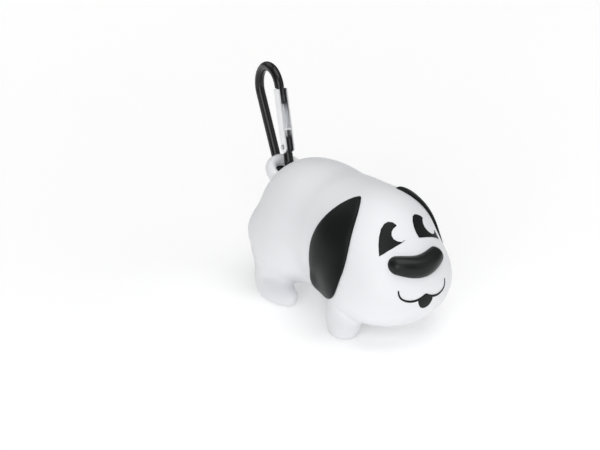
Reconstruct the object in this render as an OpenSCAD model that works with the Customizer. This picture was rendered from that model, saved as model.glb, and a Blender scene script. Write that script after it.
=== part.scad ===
// Dog-shaped dispenser for rolls of waste bags, with a carabiner on its tail loop.
// X points from tail to nose, Y to the dog's left, Z up. The soles stand on Z = 0.

/* [Trunk] */
// Length of the trunk bulb
trunk_len = 59; // [56:0.5:64]
// Width of the trunk bulb
trunk_w = 51; // [50:0.5:56]
// Height of the trunk bulb
trunk_h = 55.6; // [54:0.2:60]
// Height of the trunk's centre above the ground
trunk_z = 32.7; // [32:0.1:35]
// Length of the chest bulb between trunk and head
chest_len = 48; // [44:0.5:54]
// Width of the chest bulb
chest_w = 48.4; // [47:0.2:52]
// Height of the chest bulb
chest_h = 53; // [50:0.2:53]
// How far each thigh bulges out of the trunk
thigh_rise = 6.5; // [4:0.5:9]
// Thickness of the vinyl skin
wall = 2; // [1.5:0.1:2.4]

/* [Head] */
// Length of the skull bulb
head_len = 53; // [50:0.5:58]
// Width of the skull bulb
head_w = 50.6; // [50:0.2:56]
// Height of the skull bulb
head_h = 51.2; // [50:0.2:56]
// Length of the muzzle bulb
muzzle_len = 50; // [47:0.5:54]
// Width of the muzzle bulb
muzzle_w = 52; // [46:0.5:54]
// Height of the muzzle bulb
muzzle_h = 38.6; // [36:0.2:40]
// Thickness of an ear pad at its middle
ear_t = 2.3; // [1.6:0.1:4]
// Width of the nose
nose_w = 26.4; // [22:0.2:30]
// Height of the nose
nose_h = 9.6; // [7:0.2:11]
// How far the nose stands out of the muzzle
nose_rise = 3.4; // [2:0.1:5]
// Thickness of the printed eyes, mouth and tongue
print_t = 0.25; // [0.15:0.05:0.6]
// Width of the mouth line
mouth_line = 1.1; // [0.6:0.05:1.4]

/* [Legs] */
// Distance between the middles of the two front soles
front_track = 35.4; // [34:0.2:38]
// Length of a front foot
front_foot_len = 17; // [15:0.5:19]
// Distance between the middles of the two hind soles
hind_track = 41; // [37:0.2:43]
// Length of a hind foot
hind_foot_len = 28; // [24:0.5:29]
// Width of a foot
foot_w = 13.6; // [12:0.2:14.4]

/* [Tail loop] */
// Distance from the loop's centre to the middle of its bar
tail_r = 7.1; // [6.9:0.1:7.3]
// Thickness of the loop's bar across the hole
tail_bar_w = 4.8; // [4.2:0.1:4.9]
// Thickness of the loop's bar along the hole
tail_bar_h = 6; // [5:0.1:6.2]
// Angle at which the loop rises from the level, towards its rear
tail_rise = 28; // [24:1:34]

/* [Carabiner] */
// Overall length of the carabiner
clip_len = 52.5; // [52.5:0.5:57]
// Width of its wide end
clip_w = 23.5; // [22.5:0.5:26]
// Diameter of its rod
rod_d = 4.2; // [3.9:0.1:4.3]
// Radius of the rod's centre line round the narrow end
clip_rn = 5.6; // [5.5:0.1:6]
// Length of the gate
gate_len = 28.5; // [25:0.5:28.5]
// Outside width of the gate channel
gate_w = 4.4; // [4.2:0.1:5]
// Sheet thickness of the gate
gate_t = 0.6; // [0.5:0.05:0.8]
// Diameter of the gate's rivet
rivet_d = 1.2; // [1:0.1:1.4]
// Angle at which the carabiner leans back at rest
clip_lean = 22; // [15:1:28]
// Angle at which the carabiner is turned about the upright at rest
clip_yaw = -4; // [-8:1:8]

/* [Bag roll] */
// Diameter of the wound roll
roll_d = 31; // [28:0.5:32]
// Length of the wound roll
roll_len = 66; // [58:0.5:67]
// Outside diameter of the core tube
core_d = 13; // [11:0.5:15]
// Wall of the core tube
core_t = 1.2; // [0.8:0.1:1.6]
// Width of the paper label along the roll
label_w = 18; // [12:1:26]

/* [Belly door] */
// Length of the door
door_len = 42; // [38:0.5:43]
// Width of the door
door_w = 19; // [17:0.5:19.5]
// Gap round the door
door_gap = 0.35; // [0.25:0.05:0.5]
// Length of the slot that the bags are pulled through
slot_len = 24; // [18:0.5:26]
// Width of that slot
slot_w = 5.2; // [4.8:0.1:7]
// Diameter of the hinge pin
pin_d = 1.6; // [1.2:0.1:1.8]
// Length of the hinge pin
pin_len = 16; // [14:0.5:17]

/* [Hidden] */

// Place of the whole object: its bounding box is centred on X = 0
origin_x = 12.02;

// Clearances
run_gap = 0.05;      // radial, between a pin and what turns on it
fit_gap = 0.02;      // radial, round a pin that is pressed in
loose_gap = 0.35;    // between bodies that move past each other
glue_gap = 0.03;     // under the nose and the prints

// The skin is a soft union of four bulbs, seen from one centre inside them
centre = [2, 0, 33];
bulbs = [
    [[-22, 0, trunk_z], [trunk_len, trunk_w, trunk_h] / 2],
    [[3, 0, 34], [chest_len, chest_w, chest_h] / 2],
    [[20, 0, 35], [head_len, head_w, head_h] / 2],
    [[28.5, 0, 24.8], [muzzle_len, muzzle_w, muzzle_h] / 2],
];
blend = 9;            // the higher, the sharper the bulbs meet
thigh_dir = [150, -20];
thigh_spread = 23;    // degrees
skin_rings = 36;
skin_sides = 52;
lining_rings = 18;
lining_sides = 28;

sole_t = 0.8;
front_foot_x = 22.4;
front_leg_x = 20.8;
hind_foot_x = -24.5;
hind_leg_x = -31.8;
thigh_x = -30;
foot_h = 9;
hind_foot_h = 8;
leg_top = 20;
ankle_z = 9;
thigh_z = 23;
thigh_out = 17.2;

roll_x = -2;
roll_z = 29.3;
roll_r = roll_d / 2;
label_t = 0.12;
label_angle = 110;

hinge_x = 17.4;
hinge_z = 7.6;
hinge_r = 1.8;
knuckle_w = 9;
boss_w = (pin_len - knuckle_w) / 2 - loose_gap;
door_rear = hinge_x - door_len;
door_x = (door_rear + hinge_x) / 2;
door_corner = 7;
rib_t = 2;
rib_w = 14;
rib_inset = 5.5;
catch_w = 7;
catch_h = 4.6;
tab_w = 8;
tab_out = 3;
tab_t = 1.1;

// ---------------------------------------------------------------- skin

function dot2(a, b) = a.x * b.x + a.y * b.y + a.z * b.z;
function over(a, s) = [a.x / s.x, a.y / s.y, a.z / s.z];

// Distance from the centre to one bulb's surface, along the unit vector u
function reach(u, bulb) =
    let (us = over(u, bulb[1]), qs = over(bulb[0] - centre, bulb[1]))
    let (a = dot2(us, us), b = -2 * dot2(us, qs), c = dot2(qs, qs) - 1)
    let (d = b * b - 4 * a * c)
    d > 0 ? max(0.01, (sqrt(d) - b) / (2 * a)) : 0.01;

function unit(v) = v / norm(v);

function heading(az, el) = [cos(az) * cos(el), sin(az) * cos(el), sin(el)];

function bump(u, dir, rise, spread) =
    let (away = acos(max(-1, min(1, dot2(u, heading(dir.x, dir.y))))))
    rise * exp(-pow(away / spread, 3));

function skin_r(u) =
    pow(pow(reach(u, bulbs[0]), blend) + pow(reach(u, bulbs[1]), blend)
        + pow(reach(u, bulbs[2]), blend) + pow(reach(u, bulbs[3]), blend), 1 / blend)
    + bump(u, thigh_dir, thigh_rise, thigh_spread)
    + bump(u, [-thigh_dir.x, thigh_dir.y], thigh_rise, thigh_spread);

// Unit vector at polar angle from the nose axis and at turn from straight up towards side
function aim(polar, turn, side = 1) =
    [cos(polar), side * sin(polar) * sin(turn), sin(polar) * cos(turn)];

function skin_at(u, lift = 0) = centre + u * (skin_r(u) + lift);

// Closed skin, lifted off the drawn one by lift
module skin(lift = 0, rings = skin_rings, sides = skin_sides) {
    pts = concat(
        [skin_at([1, 0, 0], lift)],
        [for (i = [1 : rings - 1]) for (j = [0 : sides - 1])
            skin_at(aim(180 * i / rings, 360 * j / sides), lift)],
        [skin_at([-1, 0, 0], lift)]);
    last = len(pts) - 1;
    ring = function (i, j) 1 + (i - 1) * sides + j % sides;
    faces = concat(
        [for (j = [0 : sides - 1]) [0, ring(1, j), ring(1, j + 1)]],
        [for (i = [1 : rings - 2]) for (j = [0 : sides - 1])
            [ring(i, j), ring(i + 1, j), ring(i + 1, j + 1), ring(i, j + 1)]],
        [for (j = [0 : sides - 1]) [last, ring(rings - 1, j + 1), ring(rings - 1, j)]]);
    polyhedron(pts, faces, convexity = 4);
}

module ball(at, size, fn = 28) {
    translate(at) scale(size) sphere(1, $fn = fn);
}

module sole(at, len, wid, t, fn = 32) {
    translate(at) scale([len, wid, 1]) cylinder(h = t, r = 1, $fn = fn);
}

// One front leg on the side given by s, shrunk by in for its hollow
module front_leg(s, in = 0, fn = 28) {
    y = s * front_track / 2;
    hull() {
        ball([front_leg_x - 0.5, y - s * 2, leg_top], [8 - in, 7 - in, 6 - in], fn);
        ball([front_leg_x, y - s * 0.3, ankle_z], [7.6 - in, foot_w / 2 - in, 5 - in], fn);
    }
    hull() {
        ball([front_leg_x, y - s * 0.3, ankle_z], [7.6 - in, foot_w / 2 - in, 5 - in], fn);
        ball([front_foot_x, y, foot_h / 2], [front_foot_len / 2 - in, foot_w / 2 - in, foot_h / 2 - in], fn);
        sole([front_foot_x - 0.3, y, in], front_foot_len / 2 - 1.6 - in, foot_w / 2 - 1.4 - in, sole_t, fn);
    }
}

// One hind leg: a long foot under a round thigh
module hind_leg(s, in = 0, fn = 28) {
    y = s * hind_track / 2;
    ball([thigh_x, s * thigh_out, thigh_z], [15.5 - in, 9.9 - in, 18 - in], fn);
    hull() {
        ball([hind_leg_x, y - s * 0.6, ankle_z], [6.8 - in, foot_w / 2 - in, 6 - in], fn);
        ball([hind_leg_x + 0.6, y - s * 1.6, leg_top], [8 - in, foot_w / 2 - in, 6 - in], fn);
    }
    hull() {
        ball([hind_leg_x, y - s * 0.6, ankle_z - 2], [6.8 - in, foot_w / 2 - in, 5 - in], fn);
        ball([hind_foot_x, y, hind_foot_h / 2], [hind_foot_len / 2 - in, foot_w / 2 - in, hind_foot_h / 2 - in], fn);
        sole([hind_foot_x - 0.3, y, in], hind_foot_len / 2 - 1.4 - in, foot_w / 2 - 1.2 - in, sole_t, fn);
    }
}

// ---------------------------------------------------------------- tail loop

tail_dir = [-cos(tail_rise), 0, sin(tail_rise)];
tail_axis = [sin(tail_rise), 0, cos(tail_rise)];
tail_seat = heading(180, 16);
tail_off = 1.9;
tail_centre = skin_at(tail_seat, tail_off);
clip_in = 0.8;        // the carabiner hangs this far off the middle of the loop's bar
clip_side = 2;        // and this far to the dog's left
bow_centre = tail_centre + (tail_r - clip_in) * tail_dir + [0, clip_side, 0];

module tail_loop() {
    translate(tail_centre) rotate([0, tail_rise, 0])
        rotate_extrude($fn = 40)
            translate([tail_r, 0]) scale([tail_bar_w, tail_bar_h] / 2) circle(1, $fn = 20);
}

module tail_hole() {
    translate(tail_centre) rotate([0, tail_rise, 0])
        cylinder(h = tail_bar_h, r = tail_r - tail_bar_w / 2, center = true, $fn = 40);
}

// ---------------------------------------------------------------- belly opening

module rounded(len, wid, r) {
    square([len - 2 * r, wid], center = true);
    square([len, wid - 2 * r], center = true);
    for (i = [-1, 1], j = [-1, 1])
        translate([i * (len / 2 - r), j * (wid / 2 - r)]) circle(r, $fn = 32);
}

// Outline of the door, shrunk by in
module door_outline(in = 0) {
    translate([door_x, 0]) rounded(door_len - 2 * in, door_w - 2 * in, door_corner - in);
}

module belly_cut() {
    translate([0, 0, -1]) linear_extrude(centre.z - roll_r) door_outline();
    translate([hinge_x - hinge_r, -knuckle_w / 2 - loose_gap, 0])
        cube([2 * hinge_r + 1.6, knuckle_w + 2 * loose_gap, centre.z - roll_r]);
}

module dog_shell() {
    difference() {
        union() {
            skin();
            for (s = [-1, 1]) {
                front_leg(s);
                hind_leg(s);
            }
            tail_loop();
        }
        tail_hole();
        difference() {
            union() {
                skin(-wall, lining_rings, lining_sides);
                for (s = [-1, 1]) {
                    front_leg(s, wall, 14);
                    hind_leg(s, wall, 14);
                }
            }
            // Solid root of the tail loop
            translate(tail_centre) rotate([0, tail_rise, 0])
                cylinder(h = tail_bar_h + 2, r = tail_r + tail_bar_w / 2, center = true, $fn = 32);
        }
        belly_cut();
    }
}

module hinge_bosses() {
    for (s = [-1, 1])
        translate([hinge_x, s * (knuckle_w / 2 + loose_gap + boss_w / 2), hinge_z])
            rotate([90, 0, 0]) cylinder(h = boss_w, r = hinge_r, center = true, $fn = 32);
}

module dog_body() {
    color("white") translate([origin_x, 0, 0]) difference() {
        union() {
            resize([0, 0, 0]) dog_shell();
            hinge_bosses();
        }
        translate([hinge_x, 0, hinge_z]) rotate([90, 0, 0])
            cylinder(h = pin_len + 2 * run_gap, d = pin_d + 2 * fit_gap, center = true, $fn = 32);
    }
}

// ---------------------------------------------------------------- smooth outlines

// Smooth curve through the points p, n steps to each span; closed joins the ends
function spline(p, n, closed = true) =
    let (m = len(p), spans = closed ? m : m - 1)
    let (pick = function (i) closed ? p[(i + m) % m] : p[max(0, min(m - 1, i))])
    concat(
        [for (i = [0 : spans - 1]) for (k = [0 : n - 1])
            let (t = k / n, a = pick(i - 1), b = pick(i), c = pick(i + 1), d = pick(i + 2))
            (2 * b + (c - a) * t + (2 * a - 5 * b + 4 * c - d) * t * t
                + (3 * b - a - 3 * c + d) * t * t * t) / 2],
        closed ? [] : [p[m - 1]]);

function total(p, i = 0) = i == len(p) - 1 ? p[i] : p[i] + total(p, i + 1);

// ---------------------------------------------------------------- ears

// Outline of an ear as polar angle from the nose axis and turn from straight up
ear_line = [
    [55, 19], [50.5, 25], [46.5, 33], [43, 44], [40.3, 57], [38.8, 71], [39.2, 84], [42, 97],
    [46.5, 109.5], [52.5, 118], [60, 123.5], [68.5, 126], [75.5, 124], [79, 117], [78.3, 107],
    [76.7, 96], [75.6, 85], [74.5, 73], [72, 61], [68.5, 50], [64.5, 39], [60, 27], [57.2, 20.8],
];
ear_edge = 0.7;
ear_rings = 8;
pad_gap = 0.12;       // under the pads, whose flat facets bend over the skin

module ear(side) {
    rim = spline(ear_line, 2);
    n = len(rim);
    mid = total(rim) / n;
    // Lift of the pad's face at share k of the way to its rim
    face = function (k) pad_gap + ear_edge + (ear_t - ear_edge) * sqrt(1 - k * k);
    top = concat(
        [skin_at(aim(mid.x, mid.y, side), face(0))],
        [for (i = [1 : ear_rings]) for (j = [0 : n - 1])
            let (k = sin(90 * i / ear_rings), at = mid + (rim[j] - mid) * k)
            skin_at(aim(at.x, at.y, side), face(k))]);
    bottom = concat(
        [skin_at(aim(mid.x, mid.y, side), pad_gap)],
        [for (i = [1 : ear_rings]) for (j = [0 : n - 1])
            let (k = sin(90 * i / ear_rings), at = mid + (rim[j] - mid) * k)
            skin_at(aim(at.x, at.y, side), pad_gap)]);
    half = len(top);
    up = function (i, j) 1 + (i - 1) * n + j % n;
    down = function (i, j) half + 1 + (i - 1) * n + j % n;
    faces = concat(
        [for (j = [0 : n - 1]) [0, up(1, j), up(1, j + 1)]],
        [for (i = [1 : ear_rings - 1]) for (j = [0 : n - 1])
            [up(i, j), up(i + 1, j), up(i + 1, j + 1), up(i, j + 1)]],
        [for (j = [0 : n - 1]) [up(ear_rings, j), down(ear_rings, j), down(ear_rings, j + 1), up(ear_rings, j + 1)]],
        [for (i = [1 : ear_rings - 1]) for (j = [0 : n - 1])
            [down(i + 1, j), down(i, j), down(i, j + 1), down(i + 1, j + 1)]],
        [for (j = [0 : n - 1]) [half, down(1, j + 1), down(1, j)]]);
    // One side's faces run the other way round
    flip = [for (f = faces) [for (k = [len(f) - 1 : -1 : 0]) f[k]]];
    color("#151515") translate([origin_x, 0, 0])
        resize([0, 0, 0]) polyhedron(concat(top, bottom), side > 0 ? flip : faces, convexity = 4);
}

module right_ear() ear(-1);
module left_ear() ear(1);

// ---------------------------------------------------------------- face

nose_z = 37.6;
nose_lobe = 4;

module nose() {
    // Lobes stand on the skin at the nose's two ends and its lower middle
    side_y = nose_w / 2 - nose_lobe;
    top_z = nose_z + nose_h / 2;
    color("#101010") translate([origin_x, 0, 0]) resize([0, 0, 0]) difference() {
        hull() {
            for (s = [-1, 1]) {
                at = skin_at(unit([46, s * side_y, top_z - nose_lobe - 0.2 - centre.z]));
                ball([at.x - 1, at.y, at.z], [nose_rise + 1, nose_lobe, nose_lobe], 24);
                up = skin_at(unit([47, s * (nose_w / 2 - 7), top_z - 3 - centre.z]));
                ball([up.x - 1, up.y, up.z], [nose_rise + 1, 4, 3], 24);
            }
            low = skin_at(unit([50, 0, nose_z - nose_h / 2 + 4 - centre.z]));
            ball([low.x - 1, 0, low.z], [nose_rise + 1, nose_w / 3, 4], 24);
        }
        skin(glue_gap);
    }
}

// A flat shape in Y and Z, printed on the front of the skin
module printed(tone) {
    color(tone) translate([origin_x, 0, 0]) resize([0, 0, 0]) difference() {
        intersection() {
            skin(glue_gap + print_t);
            translate([centre.x + 15, 0, 0]) rotate([90, 0, 90]) linear_extrude(60) children();
        }
        skin(glue_gap);
    }
}

// Eye seen from the front, the dog's left to the right: a dome over a sloping lid, with a
// round glint bitten out of its left side
module right_eye() {
    printed("#0c0c0c") difference() {
        polygon(concat([[-14.6, 41.8]],
            spline([[-13.6, 44.6], [-12.3, 48], [-10.4, 51], [-7.6, 53.2], [-4.8, 52.9]], 4, false),
            [[-3.4, 51.6], [-3.4, 47]]));
        translate([-4.6, 48.9]) scale([3.3, 2.6]) circle(1, $fn = 32);
    }
}

module left_eye() {
    printed("#0c0c0c") difference() {
        polygon(concat([[3.6, 46.6]],
            spline([[3.1, 48.6], [3.5, 51], [5.4, 53.4], [8, 53.4], [10.8, 51.2]], 4, false),
            [[13, 48], [16.4, 44.4], [16.8, 41.6], [14, 43.2], [9, 45.1]]));
        translate([13.4, 49.2]) scale([4.4, 4.3]) circle(1, $fn = 32);
    }
}

mouth_line_pts = [
    [-11.6, 29.4], [-11.5, 27.6], [-10.7, 26], [-9, 24.9], [-6.6, 24.3], [-4, 24.5], [-1.6, 25.3],
    [0, 26], [1.6, 25.3], [4, 24.5], [6.6, 24.3], [9, 24.9], [10.7, 26], [11.5, 27.6], [11.6, 29.4],
];

module mouth() {
    line = spline(mouth_line_pts, 2, false);
    n = len(line);
    // The line is thinner towards its ends
    half = function (i) mouth_line / 2 * (0.45 + 0.55 * sin(180 * i / (n - 1)));
    side = function (i, s)
        let (d = unit(line[min(n - 1, i + 1)] - line[max(0, i - 1)]))
        line[i] + s * half(i) * [-d.y, d.x];
    printed("#0c0c0c") polygon(concat(
        [for (i = [0 : n - 1]) side(i, 1)],
        [for (i = [n - 1 : -1 : 0]) side(i, -1)]));
}

module tongue() {
    printed("#0c0c0c") polygon(concat(
        [[-3.6, 24.1 - mouth_line / 2]],
        spline([[-3.2, 22.6], [-1.9, 20.6], [0.1, 19.9], [2.1, 20.6], [3.4, 22.6]], 3, false),
        [[3.8, 24.1 - mouth_line / 2], [1.7, 24.8 - mouth_line / 2], [0.1, 25.4 - mouth_line / 2],
            [-1.5, 24.8 - mouth_line / 2]]));
}

// ---------------------------------------------------------------- belly door

// Height of the belly just behind the opening
tab_z = skin_at(unit([door_rear - tab_out - centre.x, 0, -centre.z + 5])).z - loose_gap;

module door_panel() {
    difference() {
        intersection() {
            skin();
            linear_extrude(centre.z - roll_r) door_outline(door_gap);
        }
        skin(-wall);
        // Slot with round ends that the bags are pulled through
        hull()
            for (i = [-1, 1])
                translate([door_x + i * (slot_len - slot_w) / 2, 0, 0])
                    cylinder(h = centre.z - roll_r, d = slot_w, $fn = 32);
    }
}

module door_ribs() {
    intersection() {
        union() {
            for (x = [door_rear + rib_inset, hinge_x - rib_inset])
                translate([x - rib_t / 2, -rib_w / 2, 0]) cube([rib_t, rib_w, roll_z - roll_r - loose_gap]);
            // Tongue that grips the rear rim of the opening
            translate([door_rear + door_gap + 0.1, -catch_w / 2, 0])
                cube([1.4, catch_w, skin_at([0, 0, -1]).z + catch_h - 1.5]);
        }
        skin(-wall + 0.3);
    }
}

module belly_door() {
    color("white") translate([origin_x, 0, 0]) difference() {
        union() {
            resize([0, 0, 0]) difference() {
                union() {
                    door_panel();
                    door_ribs();
                }
                // Room for the fixed halves of the hinge
                for (s = [-1, 1])
                    translate([hinge_x, s * (knuckle_w / 2 + loose_gap + boss_w / 2), hinge_z])
                        rotate([90, 0, 0])
                            cylinder(h = boss_w + 2 * loose_gap, r = hinge_r + loose_gap, center = true, $fn = 32);
            }
            translate([hinge_x, 0, hinge_z]) rotate([90, 0, 0])
                cylinder(h = knuckle_w, r = hinge_r, center = true, $fn = 32);
            // Finger tab under the rim, with its root in the panel
            translate([door_rear - tab_out, -tab_w / 2, tab_z - tab_t]) cube([tab_out + 4, tab_w, tab_t]);
            translate([door_rear + door_gap + 0.1, -tab_w / 2, tab_z - tab_t])
                cube([4 - door_gap - 0.1, tab_w, tab_t + loose_gap + 0.7]);
        }
        translate([hinge_x, 0, hinge_z]) rotate([90, 0, 0])
            cylinder(h = knuckle_w + 1, d = pin_d + 2 * run_gap, center = true, $fn = 32);
    }
}

module door_pin() {
    color("silver") translate([origin_x + hinge_x, 0, hinge_z]) rotate([90, 0, 0])
        cylinder(h = pin_len, d = pin_d, center = true, $fn = 32);
}

// ---------------------------------------------------------------- carabiner

rod_r = rod_d / 2;
arch_r = clip_w / 2 - rod_r;
arch_z = clip_len - rod_d - clip_rn - arch_r;
taper = asin((arch_r - clip_rn) / arch_z);
side_len = sqrt(pow(arch_z, 2) - pow(arch_r - clip_rn, 2));
play = 0.35;          // between the gate and the flat ends of the rod
seam = 0.004;         // the bends are this much fatter, so that they close over the straights
lap = 0.02;
tang_t = gate_w - 2 * gate_t - 2 * play;
pivot_s = 6.4;
tang_top = 4.2;
tang_low = 3.1;
tang_step = 1.2;      // the tang is milled thinner from here up
inner = 0.6;          // both rod ends reach this far inwards from the rod's axis
nose_in = 6.5;
web_low = 2.2;
web_in = 1.6;         // the gate's back, from the rod's axis inwards
flange_out = 3;       // and its open edges, from that axis outwards
flange_low = 2.6;
gate_top = gate_len - flange_low;
end_r = (web_in + flange_out) / 2;
end_x = flange_out - end_r;
strut_z = 7.4;
rivet_head_d = 2;
rivet_head_t = 0.45;
spring_x = 0.5;
spring_r = 0.7;
spring_wire = 0.35;
spring_turns = 4;

// Puts children in the carabiner's own frame: its bow's centre is the origin and its length Z
module on_clip() {
    translate([origin_x, 0, 0] + bow_centre) rotate([0, 0, clip_yaw]) rotate([0, -clip_lean, 0])
        children();
}

// Frame of one straight side: Z runs up along it from the bow, X points out of the carabiner
module on_side(s) {
    rotate([0, 0, s > 0 ? 0 : 180]) rotate([0, taper, 0]) translate([clip_rn, 0, 0]) children();
}

// Round rod bent from one side to the other about the origin
module bend(r) {
    rotate([90, 0, 0]) rotate([0, 0, -taper]) rotate_extrude(angle = 180 + 2 * taper, $fn = 64)
        translate([r, 0]) circle(rod_r + seam, $fn = 32);
}

module bow() {
    rotate([90, 0, 0]) rotate([0, 0, 180 + taper]) rotate_extrude(angle = 180 - 2 * taper, $fn = 64)
        translate([clip_rn, 0]) circle(rod_r + seam, $fn = 32);
}

// Cut that mills both sides of the gate-side rod flat, from the height a to b
module flats(a, b) {
    for (s = [-1, 1])
        translate([-rod_d, s * (tang_t + rod_d) / 2 - rod_r, a]) cube([2 * rod_d, rod_d, b - a]);
}

// Cut that thins one end of the gate-side rod from within, from the height a to b
module thinning(a, b) {
    translate([-inner - rod_d, -rod_d, a]) cube([rod_d, 2 * rod_d, b - a]);
}

module carabiner_body() {
    tang_end = pivot_s + tang_top;
    nose_end = pivot_s + gate_top - nose_in;
    shoulder = pivot_s + gate_top + play;
    color("#1b1b1d") on_clip() difference() {
        union() {
            bow();
            translate([0, 0, arch_z]) bend(arch_r);
            for (s = [-1, 1])
                on_side(s) translate([0, 0, -lap]) cylinder(h = side_len + 2 * lap, r = rod_r, $fn = 32);
        }
        on_side(1) {
            // Mouth that the gate closes
            translate([-rod_d, -rod_d, tang_end]) cube([2 * rod_d, 2 * rod_d, nose_end - tang_end]);
            flats(pivot_s - tang_low, tang_end + 1);
            flats(nose_end - 1, shoulder);
            thinning(pivot_s + tang_step, tang_end + 1);
            thinning(nose_end - 1, shoulder);
            translate([0, 0, pivot_s]) rotate([90, 0, 0])
                cylinder(h = rod_d + 1, d = rivet_d + 2 * fit_gap, center = true, $fn = 32);
        }
    }
}

// Gate in its closed place: a channel that is open towards the outside
module carabiner_gate() {
    color("#b9bcc0") on_clip() on_side(1) translate([0, 0, pivot_s]) difference() {
        union() {
            for (s = [-1, 1]) {
                translate([0, s * (gate_w - gate_t) / 2, end_r - flange_low]) {
                    translate([end_x, 0, 0]) rotate([90, 0, 0])
                        cylinder(h = gate_t, r = end_r, center = true, $fn = 32);
                    translate([-web_in, -gate_t / 2, 0])
                        cube([web_in + flange_out, gate_t, gate_len - end_r]);
                }
            }
            translate([-web_in, -gate_w / 2, web_low]) cube([gate_t, gate_w, gate_top - web_low]);
            // Seat that the spring pushes against
            translate([-web_in + gate_t / 2, -gate_w / 2 + gate_t / 2, strut_z])
                cube([web_in + 1.3, gate_w - gate_t, gate_t]);
        }
        rotate([90, 0, 0]) cylinder(h = gate_w + 1, d = rivet_d + 2 * run_gap, center = true, $fn = 32);
    }
}

module gate_rivet() {
    color("#8d9094") on_clip() on_side(1) translate([0, 0, pivot_s]) rotate([90, 0, 0]) {
        cylinder(h = gate_w + 2 * run_gap, d = rivet_d, center = true, $fn = 32);
        for (s = [-1, 1])
            translate([0, 0, s * (gate_w / 2 + run_gap + rivet_head_t / 2)])
                cylinder(h = rivet_head_t, d = rivet_head_d, center = true, $fn = 32);
    }
}

// Coil between the end of the rod and the seat in the gate
module gate_spring() {
    low = tang_top + spring_wire / 2 + 0.02;
    high = strut_z - spring_wire / 2 - 0.45;
    steps = spring_turns * 12;
    sides = 6;
    pts = [for (i = [0 : steps]) for (j = [0 : sides - 1])
        let (a = 30 * i, b = 360 * j / sides, r = spring_r + spring_wire / 2 * cos(b))
        [r * cos(a), r * sin(a), low + (high - low) * i / steps + spring_wire / 2 * sin(b)]];
    skinning = [for (i = [0 : steps - 1]) for (j = [0 : sides - 1])
        [i * sides + j, (i + 1) * sides + j, (i + 1) * sides + (j + 1) % sides, i * sides + (j + 1) % sides]];
    color("#c9ccd0") on_clip() on_side(1) translate([spring_x, 0, pivot_s])
        polyhedron(pts, concat(skinning, [[for (j = [0 : sides - 1]) j]],
            [[for (j = [sides - 1 : -1 : 0]) steps * sides + j]]), convexity = 6);
}

// ---------------------------------------------------------------- bag roll

module on_roll() {
    translate([origin_x + roll_x, 0, roll_z]) rotate([0, 90, 0]) children();
}

module tube(len, outer, inner) {
    difference() {
        cylinder(h = len, r = outer, center = true, $fn = 64);
        cylinder(h = len + 1, r = inner, center = true, $fn = 64);
    }
}

module roll_core() {
    color("#b08a5e") on_roll() tube(roll_len, core_d / 2, core_d / 2 - core_t);
}

module bag_roll() {
    color("#161718") on_roll() tube(roll_len, roll_r, core_d / 2 + glue_gap);
}

// Paper label that keeps the roll closed until it is started
module roll_label() {
    color("#f2efe4") on_roll() rotate([0, 0, 180 - label_angle / 2])
        rotate_extrude(angle = label_angle, $fn = 64)
            translate([roll_r + glue_gap, -label_w / 2]) square([label_t, label_w]);
}

dog_body();
right_ear();
left_ear();
nose();
right_eye();
left_eye();
mouth();
tongue();
belly_door();
door_pin();
carabiner_body();
carabiner_gate();
gate_rivet();
gate_spring();
roll_core();
bag_roll();
roll_label();
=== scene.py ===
"""Looks of the dog-shaped bag dispenser: a white vinyl dog with black ears, nose and face prints,
a black carabiner with a bright gate on its tail loop, and a roll of bags behind the belly door."""

import math

import bmesh
import bpy
import numpy as np
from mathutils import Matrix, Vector


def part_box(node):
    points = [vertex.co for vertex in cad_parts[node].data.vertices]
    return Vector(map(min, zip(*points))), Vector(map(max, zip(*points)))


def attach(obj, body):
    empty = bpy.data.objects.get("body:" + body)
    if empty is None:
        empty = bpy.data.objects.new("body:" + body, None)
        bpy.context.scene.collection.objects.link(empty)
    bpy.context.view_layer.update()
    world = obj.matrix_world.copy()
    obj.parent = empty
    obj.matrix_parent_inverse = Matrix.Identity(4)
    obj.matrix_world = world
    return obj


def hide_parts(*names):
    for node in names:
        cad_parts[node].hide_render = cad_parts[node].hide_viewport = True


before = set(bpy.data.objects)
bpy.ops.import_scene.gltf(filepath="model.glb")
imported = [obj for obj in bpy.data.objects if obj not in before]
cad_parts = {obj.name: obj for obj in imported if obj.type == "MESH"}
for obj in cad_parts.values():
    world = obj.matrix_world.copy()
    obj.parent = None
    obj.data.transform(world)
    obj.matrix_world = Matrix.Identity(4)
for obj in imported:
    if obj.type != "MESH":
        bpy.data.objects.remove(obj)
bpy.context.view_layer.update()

MM = 0.001

# ------------------------------------------------------------------ sizes, in millimetres

ORIGIN_X = 12.02
CENTRE = np.array([2.0 + ORIGIN_X, 0.0, 33.0])
BULBS = (  # place of each bulb's middle and its half sizes
    ((-22 + ORIGIN_X, 0, 32.7), (29.5, 25.5, 27.8)),
    ((3 + ORIGIN_X, 0, 34), (24, 24.2, 26.5)),
    ((20 + ORIGIN_X, 0, 35), (26.5, 25.3, 25.6)),
    ((28.5 + ORIGIN_X, 0, 24.8), (25, 26, 19.3)),
)
BLEND = 9
LEAST_REACH = 0.01
# Each thigh's heading and spread in degrees, and its height
THIGH_AZ, THIGH_EL, THIGH_SPREAD, THIGH_RISE = 150, -20, 23, 6.5
# How sharply the thighs are bounded in the solid, and as they are shown
THIGH_EDGE, SHOWN_THIGH_EDGE = 3, 4.5
WALL = 2.0
# Ramps along a heading's X, X and Z that bound where the hollow behind the chest is evened out
HOLLOW_FRONT, HOLLOW_REAR, HOLLOW_LOW = (0.12, -0.08), (-0.86, -0.66), (-0.35, 0.0)
# The face is met from this far in front of CENTRE, in steps that each close a share of the gap
FACE_REACH, FACE_STEPS, FACE_SHARE = 45.0, 40, 0.8


def heading(az, el):
    a, e = math.radians(az), math.radians(el)
    return np.array([math.cos(a) * math.cos(e), math.sin(a) * math.cos(e), math.sin(e)])


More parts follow.
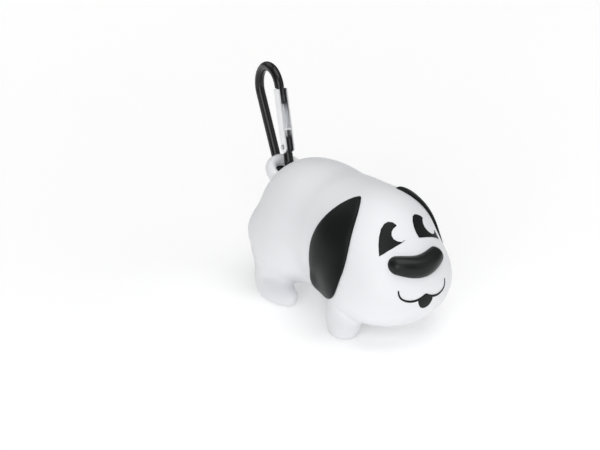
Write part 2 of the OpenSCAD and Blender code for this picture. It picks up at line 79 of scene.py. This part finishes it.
def skin_radius(u, edge=THIGH_EDGE):
    """Distance from CENTRE to the dog's skin along each unit vector in u.

    A higher edge bounds the thighs more sharply.
    """
    total = np.zeros(len(u))
    for mid, half in BULBS:
        half = np.array(half, float)
        us, qs = u / half, (np.array(mid) - CENTRE) / half
        a, b, c = (us**2).sum(1), -2 * (us * qs).sum(1), (qs**2).sum() - 1
        d = b * b - 4 * a * c
        reach = (np.sqrt(np.maximum(d, 0)) - b) / (2 * a)
        total += np.where(d > 0, np.maximum(reach, LEAST_REACH), LEAST_REACH) ** BLEND
    r = total ** (1 / BLEND)
    for side in (1, -1):
        away = np.degrees(np.arccos(np.clip(u @ heading(side * THIGH_AZ, THIGH_EL), -1, 1)))
        r = r + THIGH_RISE * np.exp(-((away / THIGH_SPREAD) ** edge))
    return r


def ramp(value, start, end):
    """0 up to start, 1 from end on, and a smooth step between."""
    t = np.clip((value - start) / (end - start), 0, 1)
    return t * t * (3 - 2 * t)


def even_radius(u):
    """The shown skin's radius, with the hollow between trunk and chest evened out."""
    share = ramp(u[:, 0], *HOLLOW_FRONT) * ramp(u[:, 0], *HOLLOW_REAR) * ramp(u[:, 2], *HOLLOW_LOW)
    r = skin_radius(u, SHOWN_THIGH_EDGE)
    side = np.cross(u, (0.0, 1.0, 0.02))
    side /= np.linalg.norm(side, axis=1)[:, None]
    up = np.cross(u, side)
    # The mean of the skin along u and along two rings of headings round it
    around = [r]
    for tilt in (9, 18):
        for turn in range(0, 360, 45):
            c, s = math.cos(math.radians(turn)), math.sin(math.radians(turn))
            near = u * math.cos(math.radians(tilt)) + (side * c + up * s) * math.sin(math.radians(tilt))
            around.append(skin_radius(near, SHOWN_THIGH_EDGE))
    return r + share * (np.mean(around, axis=0) - r)


def skin_lift(points):
    """How far each point, in millimetres, lies outside the skin."""
    out = points - CENTRE
    r = np.linalg.norm(out, axis=1)
    return r - skin_radius(out / r[:, None])


def front_of_skin(yz, lift):
    """The points of the face at each Y and Z, lift outside the skin."""
    yz = np.asarray(yz, float)
    x = np.full(len(yz), CENTRE[0] + FACE_REACH)
    for _ in range(FACE_STEPS):
        p = np.c_[x, yz]
        x = x - FACE_SHARE * (skin_lift(p) - lift)
    return np.c_[x, yz]


# ------------------------------------------------------------------ helpers


def clear_selection():
    if bpy.context.object and bpy.context.object.mode != "OBJECT":
        bpy.ops.object.mode_set(mode="OBJECT")
    bpy.ops.object.select_all(action="DESELECT")


def take(obj):
    clear_selection()
    obj.select_set(True)
    bpy.context.view_layer.objects.active = obj
    return obj


def coords(obj):
    v = np.empty(len(obj.data.vertices) * 3)
    obj.data.vertices.foreach_get("co", v)
    return v.reshape(-1, 3)


def set_coords(obj, v):
    obj.data.vertices.foreach_set("co", np.ascontiguousarray(v, dtype=float).ravel())
    obj.data.update()


def edge_ends(obj):
    """The two vertex numbers of each edge."""
    e = np.empty(len(obj.data.edges) * 2, int)
    obj.data.edges.foreach_get("vertices", e)
    return e.reshape(-1, 2)


def add_object(name, data):
    obj = bpy.data.objects.new(name, data)
    bpy.context.scene.collection.objects.link(obj)
    return obj


def edit_all(obj):
    """Starts edit mode with the whole mesh selected."""
    take(obj)
    bpy.ops.object.mode_set(mode="EDIT")
    bpy.ops.mesh.select_all(action="SELECT")


def copy_of(node, name):
    """A merged copy of a CAD node's mesh, as a new object."""
    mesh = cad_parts[node].data.copy()
    mesh.materials.clear()
    obj = add_object(name, mesh)
    edit_all(obj)
    bpy.ops.mesh.remove_doubles(threshold=0.00001)
    bpy.ops.object.mode_set(mode="OBJECT")
    return obj


def apply_modifier(obj, kind, **values):
    take(obj)
    mod = obj.modifiers.new("step", kind)
    for k, v in values.items():
        setattr(mod, k, v)
    bpy.ops.object.modifier_apply(modifier=mod.name)


def settle(obj, material, body, *nodes):
    """Freezes the object's place into its mesh, gives it its material and hands it to a body."""
    take(obj)
    bpy.ops.object.transform_apply(location=True, rotation=True, scale=True)
    obj.data.materials.clear()
    obj.data.materials.append(material)
    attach(obj, body)
    if nodes:
        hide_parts(*nodes)
    return obj


def neighbours_mean(obj, values, rounds, hold=None):
    """Values averaged along the mesh's edges, rounds times; hold is each point's share that stays."""
    a, b = edge_ends(obj).T
    n = len(obj.data.vertices)
    count = np.bincount(a, minlength=n) + np.bincount(b, minlength=n)

    def mean_round(w):
        return (np.bincount(a, w[b], n) + np.bincount(b, w[a], n)) / np.maximum(count, 1)

    v = values.copy()
    for _ in range(rounds):
        if v.ndim == 1:
            new = mean_round(v)
        else:
            new = np.stack([mean_round(v[:, k]) for k in range(3)], 1)
        new = 0.5 * v + 0.5 * new
        v = new if hold is None else (hold * v.T + (1 - hold) * new.T).T
    return v


def spline(points, steps, closed=True):
    """Smooth curve through the points."""
    p = np.asarray(points, float)
    m = len(p)
    pick = (lambda i: p[i % m]) if closed else (lambda i: p[min(max(i, 0), m - 1)])
    out = []
    for i in range(m if closed else m - 1):
        a, b, c, d = pick(i - 1), pick(i), pick(i + 1), pick(i + 2)
        for k in range(steps):
            t = k / steps
            square, cube = 2 * a - 5 * b + 4 * c - d, 3 * b - a - 3 * c + d
            out.append((2 * b + (c - a) * t + square * t * t + cube * t**3) / 2)
    if not closed:
        out.append(p[-1])
    return np.array(out)


# ------------------------------------------------------------------ materials


def new_group(name, inputs, outputs):
    tree = bpy.data.node_groups.new(name, "ShaderNodeTree")
    for label, kind, value in inputs:
        s = tree.interface.new_socket(label, in_out="INPUT", socket_type=kind)
        s.default_value = value
    for label, kind in outputs:
        tree.interface.new_socket(label, in_out="OUTPUT", socket_type=kind)
    return tree, tree.nodes.new("NodeGroupInput"), tree.nodes.new("NodeGroupOutput")


def speckle_group():
    """Fine uneven texture of a moulded or coated face: a height and a slow tone change."""
    tree, into, out = new_group(
        "moulded_texture",
        [("Fine scale", "NodeSocketFloat", 900.0), ("Slow scale", "NodeSocketFloat", 60.0)],
        [("Height", "NodeSocketFloat"), ("Tone", "NodeSocketFloat")],
    )
    n, link = tree.nodes, tree.links.new
    where = n.new("ShaderNodeTexCoord")
    fine = n.new("ShaderNodeTexNoise")
    fine.inputs["Detail"].default_value = 2.0
    slow = n.new("ShaderNodeTexNoise")
    slow.inputs["Detail"].default_value = 3.0
    for tex, label in ((fine, "Fine scale"), (slow, "Slow scale")):
        link(where.outputs["Object"], tex.inputs["Vector"])
        link(into.outputs[label], tex.inputs["Scale"])
    link(fine.outputs["Fac"], out.inputs["Height"])
    link(slow.outputs["Fac"], out.inputs["Tone"])
    return tree


TEXTURE = speckle_group()


def finish(name, slot, dark, light, rough, bump, fine, slow, **sockets):
    """A material whose colour goes between dark and light and whose roughness varies a little."""
    m = bpy.data.materials.new(name)
    m.use_nodes = True
    n, link = m.node_tree.nodes, m.node_tree.links.new
    shade = n["Principled BSDF"]
    tex = n.new("ShaderNodeGroup")
    tex.node_tree = TEXTURE
    tex.inputs["Fine scale"].default_value = fine
    tex.inputs["Slow scale"].default_value = slow
    tone = n.new("ShaderNodeMix")
    tone.data_type = "RGBA"
    tone.inputs["A"].default_value = (*dark, 1)
    tone.inputs["B"].default_value = (*light, 1)
    link(tex.outputs["Tone"], tone.inputs["Factor"])
    link(tone.outputs["Result"], shade.inputs["Base Color"])
    span = n.new("ShaderNodeMapRange")
    span.inputs["To Min"].default_value = rough[0]
    span.inputs["To Max"].default_value = rough[1]
    link(tex.outputs["Tone"], span.inputs["Value"])
    link(span.outputs["Result"], shade.inputs["Roughness"])
    b = n.new("ShaderNodeBump")
    b.inputs["Strength"].default_value = bump
    b.inputs["Distance"].default_value = 0.2 * MM
    link(tex.outputs["Height"], b.inputs["Height"])
    link(b.outputs["Normal"], shade.inputs["Normal"])
    for k, v in sockets.items():
        shade.inputs[k.replace("_", " ")].default_value = v
    m["slot"] = slot
    return m


white_vinyl = finish(
    "white_vinyl", "white_vinyl", (0.80, 0.815, 0.84), (0.84, 0.85, 0.87),
    (0.42, 0.5), bump=0.06, fine=700, slow=40,
)
door_white = finish(
    "door_white", "white_door", (0.78, 0.79, 0.82), (0.82, 0.83, 0.85),
    (0.38, 0.46), bump=0.05, fine=900, slow=60,
)
black_vinyl = finish(
    "black_vinyl", "black_vinyl", (0.006, 0.007, 0.007), (0.009, 0.010, 0.010),
    (0.36, 0.44), bump=0.12, fine=800, slow=60, Specular_IOR_Level=0.13,
)
nose_black = finish(
    "nose_black", "black_vinyl", (0.006, 0.007, 0.007), (0.009, 0.010, 0.010),
    (0.30, 0.36), bump=0.08, fine=800, slow=60, Specular_IOR_Level=0.28,
)
print_black = finish(
    "print_black", "black_print", (0.005, 0.006, 0.006), (0.008, 0.008, 0.009),
    (0.4, 0.48), bump=0.03, fine=1200, slow=80, Specular_IOR_Level=0.22,
)
rod_black = finish(
    "rod_black", "black_aluminium", (0.004, 0.004, 0.005), (0.007, 0.007, 0.008),
    (0.18, 0.26), bump=0.02, fine=1500, slow=120,
    Coat_Weight=0.15, Coat_Roughness=0.08, Specular_IOR_Level=0.3,
)
gate_metal = finish(
    "gate_metal", "bare_aluminium", (0.76, 0.77, 0.79), (0.90, 0.91, 0.92),
    (0.26, 0.38), bump=0.05, fine=1800, slow=90, Metallic=1.0,
)
steel = finish(
    "steel", "steel", (0.5, 0.5, 0.52), (0.62, 0.62, 0.64),
    (0.2, 0.3), bump=0.04, fine=1500, slow=120, Metallic=1.0,
)
card = finish(
    "card", "card", (0.30, 0.22, 0.14), (0.42, 0.33, 0.22),
    (0.8, 0.9), bump=0.3, fine=1200, slow=300,
)
film = finish(
    "film", "black_film", (0.008, 0.008, 0.009), (0.02, 0.021, 0.023),
    (0.25, 0.45), bump=0.5, fine=400, slow=90,
)
paper = finish(
    "paper", "paper", (0.80, 0.79, 0.75), (0.86, 0.85, 0.82),
    (0.5, 0.6), bump=0.1, fine=1500, slow=200,
)

# ------------------------------------------------------------------ dog


# Mesh size and rounds of smoothing of the skin
SKIN_VOXEL, SKIN_ROUNDS = 0.75, 26
# The belly opening and its hinge, and the tail loop, keep most of their shape
OPENING_MID, OPENING_HALF_LEN, OPENING_HALF_W, OPENING_TOP = -4, 29, 13.5, 15
TAIL_FRONT, TAIL_LOW, TAIL_LIFT = -45, 40, 0.3
KEPT_ROUNDS, KEPT_HOLD = 20, 0.75
# A point this near to either face of the wall is on it, and steady where its neighbours are too
ON_WALL = 0.4
STEADY_ROUNDS, STEADY_FROM, STEADY_SPAN = 4, 0.8, 0.2


def make_dog():
    dog = copy_of("dog_body", "dog_skin")
    dog.data.remesh_voxel_size = SKIN_VOXEL * MM
    dog.data.remesh_voxel_adaptivity = 0.0
    bpy.ops.object.voxel_remesh()
    v = coords(dog) / MM
    lift = skin_lift(v)
    inner = lift + WALL
    keep = (np.abs(v[:, 1]) < OPENING_HALF_W) & (v[:, 2] < OPENING_TOP)
    keep &= np.abs(v[:, 0] - ORIGIN_X - OPENING_MID) < OPENING_HALF_LEN
    keep |= (v[:, 0] < ORIGIN_X + TAIL_FRONT) & (v[:, 2] > TAIL_LOW) & (lift > TAIL_LIFT)
    kept = neighbours_mean(dog, keep.astype(float), KEPT_ROUNDS)
    plain = (np.abs(lift) < ON_WALL) | (np.abs(inner) < ON_WALL)
    near = neighbours_mean(dog, plain.astype(float), STEADY_ROUNDS)
    steady = np.clip((near - STEADY_FROM) / STEADY_SPAN, 0, 1)
    soft = neighbours_mean(dog, v, SKIN_ROUNDS, KEPT_HOLD * kept)
    # Back onto the shown skin, away from creases
    out = soft - CENTRE
    u = out / np.linalg.norm(out, axis=1)[:, None]
    r = even_radius(u)[:, None]
    out_side, in_side = CENTRE + u * r, CENTRE + u * (r - WALL)
    target = np.where((np.abs(inner) < np.abs(lift))[:, None], in_side, out_side)
    soft = soft + (target - soft) * (steady * (1 - kept))[:, None]
    soft[:, 2] = np.maximum(soft[:, 2], 0.0)
    set_coords(dog, soft * MM)
    take(dog)
    bpy.ops.object.shade_smooth()
    return settle(dog, white_vinyl, "dog", "dog_body")


# The ear's rim, as headings from CENTRE in degrees: away from the front, and round from the top
EAR_LINE = [
    [55, 19], [50.5, 25], [46.5, 33], [43, 44], [40.3, 57], [38.8, 71], [39.2, 84], [42, 97],
    [46.5, 109.5], [52.5, 118], [60, 123.5], [68.5, 126], [75.5, 124], [79, 117], [78.3, 107],
    [76.7, 96], [75.6, 85], [74.5, 73], [72, 61], [68.5, 50], [64.5, 39], [60, 27], [57.2, 20.8],
]
EAR_THICK, EAR_RINGS, EAR_CROWN = 2.3, 22, 2.4
# The rim's round, and where it starts and how wide it is as shares of the way to the rim
EAR_EDGE, EAR_EDGE_FROM, EAR_EDGE_SPAN = 0.75, 0.93, 0.07
EAR_FOOT = -0.15
# How far the low end stands off the head, and the share of it that is left towards the front
EAR_TIP_LIFT, EAR_TIP_LEAST = 2.4, 0.2
# It grows between these turns, and towards the rear between these angles from the front
EAR_TIP_TURN, EAR_TIP_POLAR = (102, 125), (50, 74)


def aim(polar, turn, side):
    """Unit vectors at these headings, on the side given as 1 or -1."""
    p, t = np.radians(polar), np.radians(turn)
    return np.stack([np.cos(p), side * np.sin(p) * np.sin(t), np.sin(p) * np.cos(t)], -1)


def make_ear(name, side, node):
    rim = spline(EAR_LINE, 6)
    mid = rim.mean(0)
    n = len(rim)
    grid, lifts = [mid[None]], [np.array([EAR_THICK])]
    for i in range(1, EAR_RINGS + 1):
        k = math.sin(math.pi / 2 * i / EAR_RINGS)
        grid.append(mid + (rim - mid) * k)
        crown = EAR_EDGE + (EAR_THICK - EAR_EDGE) * math.sqrt(max(0.0, 1 - k**EAR_CROWN))
        edge = max(0.0, (k - EAR_EDGE_FROM) / EAR_EDGE_SPAN)
        lifts.append(np.full(n, crown - EAR_EDGE * (1 - math.sqrt(max(0.0, 1 - edge * edge)))))
    # Foot of the rim, just inside the skin
    grid.append(rim)
    lifts.append(np.full(n, EAR_FOOT))
    at, lift = np.concatenate(grid), np.concatenate(lifts)
    low, back = ramp(at[:-n, 1], *EAR_TIP_TURN), ramp(at[:-n, 0], *EAR_TIP_POLAR)
    lift[:-n] += EAR_TIP_LIFT * low * (EAR_TIP_LEAST + (1 - EAR_TIP_LEAST) * back)
    u = aim(at[:, 0], at[:, 1], side)
    p = CENTRE + u * (skin_radius(u) + lift)[:, None]
    faces = [(0, 1 + j, 1 + (j + 1) % n) for j in range(n)]
    for i in range(EAR_RINGS):
        a, b = 1 + i * n, 1 + (i + 1) * n
        faces += [(a + j, b + j, b + (j + 1) % n, a + (j + 1) % n) for j in range(n)]
    faces.append(tuple(1 + EAR_RINGS * n + j for j in reversed(range(n))))
    if side < 0:
        faces = [tuple(reversed(f)) for f in faces]
    mesh = bpy.data.meshes.new(name)
    mesh.from_pydata((p * MM).tolist(), [], faces)
    obj = add_object(name, mesh)
    take(obj)
    bpy.ops.object.shade_smooth()
    return settle(obj, black_vinyl, "dog", node)


# How far a print stands out of the skin and reaches into it, and the cells that let it bend
PRINT_THICK, PRINT_SINK = 0.16, 0.12
PRINT_CELL, PRINT_FIRST_CUT = 0.6, 0.45


def make_print(name, outline, node, thick=PRINT_THICK):
    """A thin crisp print on the face with the outline given in Y and Z."""
    bm = bmesh.new()
    ring = [bm.verts.new((0, y, z)) for y, z in outline]
    bm.faces.new(ring)
    lo, hi = np.min(outline, 0), np.max(outline, 0)
    for k, axis in ((0, (0, 1, 0)), (1, (0, 0, 1))):
        for c in np.arange(lo[k] + PRINT_FIRST_CUT, hi[k], PRINT_CELL):
            at = (0, c, 0) if k == 0 else (0, 0, c)
            everything = bm.verts[:] + bm.edges[:] + bm.faces[:]
            bmesh.ops.bisect_plane(bm, geom=everything, dist=1e-5, plane_co=at, plane_no=axis)
    bm.normal_update()
    for f in bm.faces:
        if f.normal.x < 0:
            f.normal_flip()
    mesh = bpy.data.meshes.new(name)
    bm.to_mesh(mesh)
    bm.free()
    obj = add_object(name, mesh)
    flat = coords(obj)[:, 1:]
    set_coords(obj, front_of_skin(flat, thick) * MM)
    edit_all(obj)
    bpy.ops.mesh.extrude_region_move(TRANSFORM_OT_translate={"value": (-(thick + PRINT_SINK) * MM, 0, 0)})
    bpy.ops.mesh.select_all(action="SELECT")
    bpy.ops.mesh.normals_make_consistent(inside=False)
    bpy.ops.object.mode_set(mode="OBJECT")
    bpy.ops.object.shade_smooth_by_angle(angle=math.radians(40))
    return settle(obj, print_black, "dog", node)


# Outlines on the face, in Y and Z
RIGHT_EYE = np.array([
    [-14.6, 41.8], [-14.1, 43.5], [-13.4, 45.8], [-12.3, 48.4], [-10.6, 51], [-8.6, 52.7],
    [-6.8, 53.3], [-5.2, 53], [-4.2, 52], [-4.6, 51.7], [-6.0, 51.1], [-7.2, 50.1], [-7.8, 48.8],
    [-7.5, 47.6], [-6.4, 46.7], [-4.6, 46.3], [-3.2, 46.8], [-4.4, 46.2], [-7.4, 45.2], [-11, 43.7],
])
LEFT_EYE = np.array([
    [3.8, 46.4], [3.2, 48.4], [3.2, 50.2], [3.8, 52], [5, 53.3], [6.6, 53.6], [8.2, 53.1],
    [9.6, 52.3], [10.6, 51.4], [9.6, 50.9], [9.1, 49.9], [9.2, 48.6], [10, 47.3], [11.2, 46.1],
    [12.6, 45.1], [14.1, 44.5], [15.3, 44.6], [15.9, 45.1], [16.5, 43.6], [16.8, 41.6],
    [14.4, 43.1], [11.6, 44.4], [8, 45.5],
])
MOUTH_LINE = [
    [-11.6, 29.4], [-11.5, 27.6], [-10.7, 26], [-9, 24.9], [-6.6, 24.3], [-4, 24.5],
    [-1.6, 25.3], [0, 26.0], [1.6, 25.3], [4, 24.5], [6.6, 24.3], [9, 24.9], [10.7, 26],
    [11.5, 27.6], [11.6, 29.4],
]
# The mouth's half width in the middle, and the share of it left at the ends
MOUTH_HALF_W, MOUTH_END_SHARE = 0.56, 0.4
TONGUE_TIP = [
    [-3.5, 23.8], [-3.2, 22.6], [-1.9, 20.6], [0.1, 19.9], [2.1, 20.6], [3.4, 22.6], [3.7, 23.8],
]
TONGUE_TOP = np.array([[2.7, 25.0], [1.4, 25.4], [0.0, 26.0], [-1.4, 25.4], [-2.7, 25.0]])
TONGUE_THICK = 0.14


def make_face():
    make_print("eye_print_right", RIGHT_EYE, "right_eye")
    make_print("eye_print_left", LEFT_EYE, "left_eye")
    line = spline(MOUTH_LINE, 5, closed=False)
    along = np.linspace(0, 1, len(line))
    half = MOUTH_HALF_W * (MOUTH_END_SHARE + (1 - MOUTH_END_SHARE) * np.sin(np.pi * along))
    d = np.gradient(line, axis=0)
    d /= np.linalg.norm(d, axis=1)[:, None]
    nrm = np.c_[-d[:, 1], d[:, 0]]
    band = np.concatenate([line + nrm * half[:, None], (line - nrm * half[:, None])[::-1]])
    make_print("mouth_print", band, "mouth")
    tip = spline(TONGUE_TIP, 5, closed=False)
    make_print("tongue_print", np.concatenate([tip, TONGUE_TOP]), "tongue", TONGUE_THICK)


# Half width, number of balls, and how far behind the face their middles lie
NOSE_HALF_W, NOSE_BALLS, NOSE_SINK = 9.3, 13, 1.66
# Half depth of the balls, how much less it is at the ends, and their half width
NOSE_HALF_DEPTH, NOSE_END_LESS, NOSE_BALL_HALF_W = 5.2, 0.4, 3.9
# Height of the upper edge and its dip, and of the lower edge and its rise to the ends
NOSE_TOP, NOSE_DIP, NOSE_LOW, NOSE_RISE = 41.7, 0.35, 31.7, 2.3
NOSE_VOXEL, NOSE_ROUNDS = 0.3, 40


def make_nose():
    """A wide bean of balls joined in a row, dipping above and hanging below in the middle."""
    clear_selection()
    parts = []
    for i in range(NOSE_BALLS):
        t = -1 + 2 * i / (NOSE_BALLS - 1)
        y = NOSE_HALF_W * t
        top = NOSE_TOP - NOSE_DIP * math.cos(math.pi * t)
        low = NOSE_LOW + NOSE_RISE * t**2
        z, half = (top + low) / 2, (top - low) / 2
        face = front_of_skin([[y, z]], 0)[0]
        bpy.ops.mesh.primitive_uv_sphere_add(
            segments=40, ring_count=28, radius=MM,
            location=[(face[0] - NOSE_SINK) * MM, y * MM, z * MM],
            scale=(NOSE_HALF_DEPTH - NOSE_END_LESS * t * t, NOSE_BALL_HALF_W, half),
        )
        parts.append(bpy.context.object)
    clear_selection()
    for p in parts:
        p.select_set(True)
    bpy.context.view_layer.objects.active = parts[0]
    bpy.ops.object.join()
    nose = bpy.context.object
    nose.name = "nose_pad"
    bpy.ops.object.transform_apply(location=True, rotation=True, scale=True)
    nose.data.remesh_voxel_size = NOSE_VOXEL * MM
    bpy.ops.object.voxel_remesh()
    v = neighbours_mean(nose, coords(nose) / MM, NOSE_ROUNDS)
    set_coords(nose, v * MM)
    bpy.ops.object.shade_smooth()
    return settle(nose, nose_black, "dog", "nose")


make_dog()
make_ear("ear_pad_right", -1, "right_ear")
make_ear("ear_pad_left", 1, "left_ear")
make_face()
make_nose()

# ------------------------------------------------------------------ solids that keep their shape

ROUND_STEPS, ROUND_ANGLE, SMOOTH_ANGLE = 2, 30, 35


def soften(node, name, material, body, width):
    """A copy of a CAD node with its sharp edges rounded off, if width isn't 0."""
    obj = copy_of(node, name)
    edit_all(obj)
    bpy.ops.mesh.dissolve_limited(angle_limit=math.radians(1))
    bpy.ops.object.mode_set(mode="OBJECT")
    if width:
        apply_modifier(
            obj, "BEVEL", width=width * MM, segments=ROUND_STEPS, limit_method="ANGLE",
            angle_limit=math.radians(ROUND_ANGLE), harden_normals=False,
        )
    bpy.ops.object.shade_smooth_by_angle(angle=math.radians(SMOOTH_ANGLE))
    return settle(obj, material, body, node)


soften("carabiner_gate", "gate_channel", gate_metal, "gate", 0.12)
soften("carabiner_body", "carabiner_rod", rod_black, "clip", 0.15)
soften("gate_rivet", "rivet_pin", steel, "clip", 0.15)
soften("door_pin", "hinge_wire", steel, "dog", 0.15)
soften("belly_door", "door_panel", door_white, "door", 0.0)


# The film's bore and how far it lies inside its node, and its turns
FILM_BORE, FILM_SLACK, FILM_TURNS = 6.56, 0.1, 11
# Creases grow outwards from this radius over this span
CREASE_FROM, CREASE_SPAN = 14, 1.2
# The turns at the ends: height, first radius, span and number of waves
END_HEIGHT, END_FROM, END_SPAN, END_WAVES = 0.35, 6.5, 9, 5.5
# Depth, count round the roll, twist along it and phase of each set of creases
FILM_CREASES = ((0.28, 5, 0.21, 0.4), (0.22, 8, -0.13, 1.7), (0.18, 3, 0.37, 2.6), (0.14, 13, 0.29, 0.9))


def make_roll():
    """Wound film: wrinkled round its face, with the turns showing at both ends."""
    low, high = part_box("bag_roll")
    mid = (Vector(low) + Vector(high)) / 2
    length, bore = high[0] - low[0], FILM_BORE * MM
    radius = (high[2] - low[2]) / 2 - FILM_SLACK * MM
    clear_selection()
    bpy.ops.mesh.primitive_cylinder_add(
        vertices=120, radius=radius, depth=length, end_fill_type="NGON",
        location=mid, rotation=(0, math.pi / 2, 0),
    )
    roll = bpy.context.object
    roll.name = "film_roll"
    bpy.ops.object.transform_apply(location=True, rotation=True, scale=True)
    bpy.ops.object.mode_set(mode="EDIT")
    bpy.ops.mesh.select_mode(type="FACE")
    bpy.ops.mesh.select_all(action="DESELECT")
    bpy.ops.object.mode_set(mode="OBJECT")
    for f in roll.data.polygons:
        f.select = abs(f.normal.x) > 0.9
    bpy.ops.object.mode_set(mode="EDIT")
    # The ends step inwards turn by turn
    for _ in range(FILM_TURNS):
        bpy.ops.mesh.inset(thickness=(radius - bore) / FILM_TURNS, use_individual=True)
    bpy.ops.mesh.delete(type="ONLY_FACE")
    bpy.ops.mesh.select_all(action="DESELECT")
    bpy.ops.mesh.select_mode(type="EDGE")
    bpy.ops.object.mode_set(mode="OBJECT")
    # The bore joins the two inner rims
    v, e = coords(roll), edge_ends(roll)
    rad = np.hypot(v[:, 1] - mid.y, v[:, 2] - mid.z)
    roll.data.edges.foreach_set("select", (rad[e] < bore + 0.05 * MM).all(1))
    bpy.ops.object.mode_set(mode="EDIT")
    bpy.ops.mesh.bridge_edge_loops()
    bpy.ops.mesh.select_all(action="DESELECT")
    bpy.ops.object.mode_set(mode="OBJECT")
    # The edges that run from end to end are cut
    v, e = coords(roll), edge_ends(roll)
    roll.data.edges.foreach_set("select", np.abs(v[e[:, 0], 0] - v[e[:, 1], 0]) > length / 2)
    bpy.ops.object.mode_set(mode="EDIT")
    bpy.ops.mesh.subdivide(number_cuts=60)
    bpy.ops.mesh.select_all(action="SELECT")
    bpy.ops.mesh.normals_make_consistent(inside=False)
    bpy.ops.object.mode_set(mode="OBJECT")
    v = coords(roll)
    y, z = v[:, 1] - mid.y, v[:, 2] - mid.z
    rad, turn, along = np.hypot(y, z), np.arctan2(z, y), (v[:, 0] - mid.x) / MM
    out = np.clip((rad / MM - CREASE_FROM) / CREASE_SPAN, 0, 1)
    crease = sum(
        k * np.abs(np.sin(n * turn + w * along + q)) ** 3
        for k, n, w, q in FILM_CREASES
    )
    wave = np.abs(np.sin(np.clip(rad / MM - END_FROM, 0, END_SPAN) / END_SPAN * math.pi * END_WAVES))
    step = END_HEIGHT * wave * (1 - out) * (rad > bore + 0.3 * MM)
    new = rad - crease * out * MM
    v[:, 1], v[:, 2] = mid.y + y / rad * new, mid.z + z / rad * new
    v[:, 0] -= np.sign(along) * step * MM * (np.abs(along) > length / MM / 2 - 0.2)
    set_coords(roll, v)
    take(roll)
    bpy.ops.object.shade_smooth_by_angle(angle=math.radians(50))
    return settle(roll, film, "roll", "bag_roll")


make_roll()

for node, material in (("gate_spring", steel), ("roll_core", card), ("roll_label", paper)):
    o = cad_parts[node]
    o.data.materials.clear()
    o.data.materials.append(material)

# ------------------------------------------------------------------ stage, light and camera

clear_selection()
bpy.ops.mesh.primitive_plane_add(size=30, location=(0, 0, 0))
floor = bpy.context.object
floor.name = "floor"
ground = bpy.data.materials.new("ground")
ground.use_nodes = True
surface = ground.node_tree.nodes["Principled BSDF"]
surface.inputs["Base Color"].default_value = (0.96, 0.96, 0.96, 1)
surface.inputs["Roughness"].default_value = 0.9
# Painted light: the floor glows faintly under the dog and more brightly farther off, so the far floor
# stays white and the dog's underside is lit from below
surface.inputs["Emission Color"].default_value = (1, 1, 1, 1)
where = ground.node_tree.nodes.new("ShaderNodeTexCoord")
far = ground.node_tree.nodes.new("ShaderNodeVectorMath")
far.operation = "LENGTH"
painted_floor_glow = ground.node_tree.nodes.new("ShaderNodeMapRange")
for label, value in (("From Min", 0.1), ("From Max", 2.5), ("To Min", 0.22), ("To Max", 1.1)):
    painted_floor_glow.inputs[label].default_value = value
link = ground.node_tree.links.new
link(where.outputs["Object"], far.inputs[0])
link(far.outputs["Value"], painted_floor_glow.inputs["Value"])
link(painted_floor_glow.outputs["Result"], surface.inputs["Emission Strength"])
floor.data.materials.append(ground)


LIT_POINT = Vector((0.0, 0.0, 0.035))


def lamp(name, at, size, power):
    """A square soft light turned to the middle of the dog."""
    data = bpy.data.lights.new(name, "AREA")
    data.shape = "SQUARE"
    data.size = size
    data.energy = power
    obj = add_object(name, data)
    obj.location = at
    obj.rotation_euler = (LIT_POINT - Vector(at)).to_track_quat("-Z", "Y").to_euler()


lamp("key", (0.86, -0.84, 0.55), 0.9, 7.0)
lamp("front", (0.95, 0.75, 0.4), 1.1, 2.0)
lamp("top", (0.25, 0.1, 1.3), 1.2, 9.2)
lamp("rear", (-0.9, -0.2, 1.0), 0.9, 1.8)

world = bpy.data.worlds.new("studio")
world.use_nodes = True
world.node_tree.nodes["Background"].inputs["Color"].default_value = (1, 1, 1, 1)
world.node_tree.nodes["Background"].inputs["Strength"].default_value = 0.17
bpy.context.scene.world = world
bpy.context.scene.view_settings.view_transform = "Standard"

# Place in millimetres, before ORIGIN_X is added to its X, tilt down and turn in degrees, and lens
CAMERA_PLACE, CAMERA_DOWN, CAMERA_TURN, CAMERA_LENS = (531.65, -372.27, 296.22), 21.708, 146.822, 98.7
camera = bpy.data.cameras.new("camera")
camera.sensor_width = 36
camera.lens = CAMERA_LENS
camera.clip_start = 0.01
view = add_object("camera", camera)
view.location = ((CAMERA_PLACE[0] + ORIGIN_X) * MM, CAMERA_PLACE[1] * MM, CAMERA_PLACE[2] * MM)
view.rotation_euler = (math.radians(90 - CAMERA_DOWN), 0, math.radians(CAMERA_TURN - 90))
bpy.context.scene.camera = view
